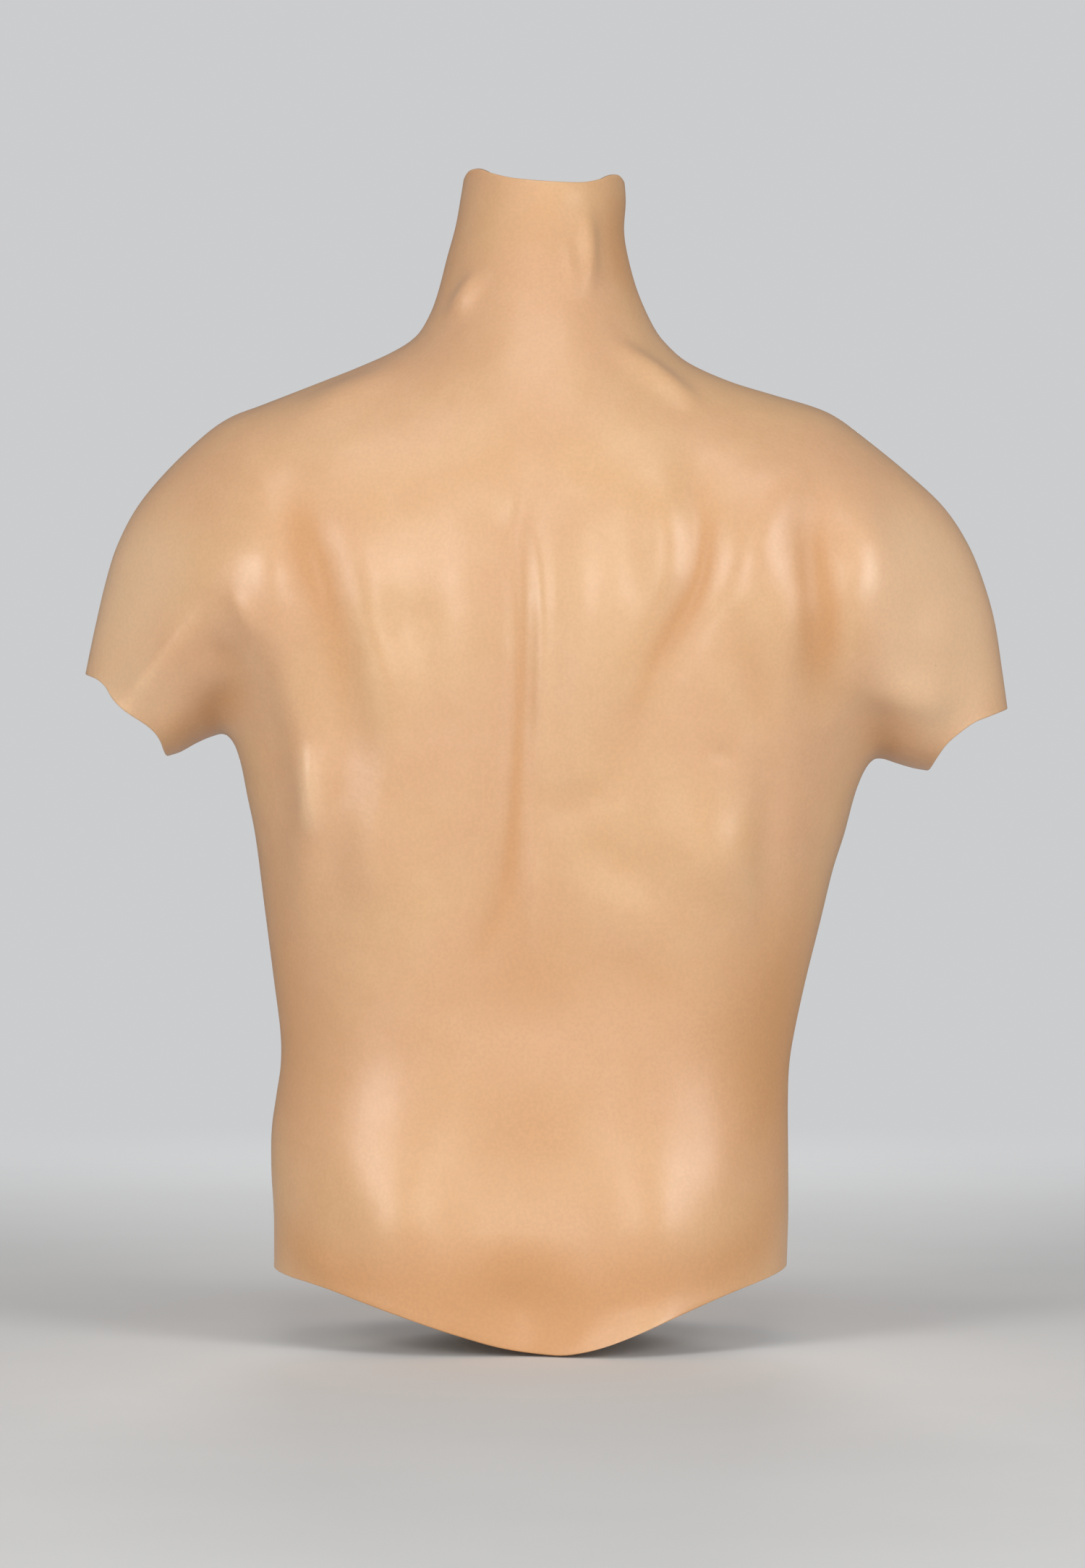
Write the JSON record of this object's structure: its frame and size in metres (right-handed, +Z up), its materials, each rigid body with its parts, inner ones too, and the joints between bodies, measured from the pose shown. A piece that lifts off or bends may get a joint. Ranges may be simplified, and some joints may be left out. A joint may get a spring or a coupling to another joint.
{
  "type": "body opponent mannequin torso",
  "caption": "Headless male torso of a punching mannequin in skin-coloured vinyl, foam filled, with short arm stumps and a pole socket in its waist.",
  "frame": {"origin": "centre of the pole socket's mouth, on the underside of the socket collar", "axes": "+X towards the mannequin's left, +Y towards its back, +Z up along the socket"},
  "size_m": [0.561, 0.228, 0.7107],
  "materials": {
    "skin_vinyl": "satin",
    "core_foam": "matte",
    "plywood": "matte",
    "black_plastic": "matte",
    "steel": "satin"
  },
  "bodies": {
    "root": {"torso_skin": "skin_vinyl", "foam_core": "core_foam", "neck_end_plug": "skin_vinyl", "arm_end_plug_left": "skin_vinyl", "arm_end_plug_right": "skin_vinyl", "base_plate": "plywood", "socket_collar": "black_plastic", "socket_tube": "black_plastic", "socket_end_plug": "black_plastic", "cross_pin": "steel", "pin_cap_left": "steel", "pin_cap_right": "steel", "collar_screw_1": "steel", "collar_screw_2": "steel", "collar_screw_3": "steel", "collar_screw_4": "steel", "collar_screw_5": "steel", "collar_screw_6": "steel", "t_nut_1": "steel", "t_nut_2": "steel", "t_nut_3": "steel", "t_nut_4": "steel", "t_nut_5": "steel", "t_nut_6": "steel"}
  },
  "joints": []
}
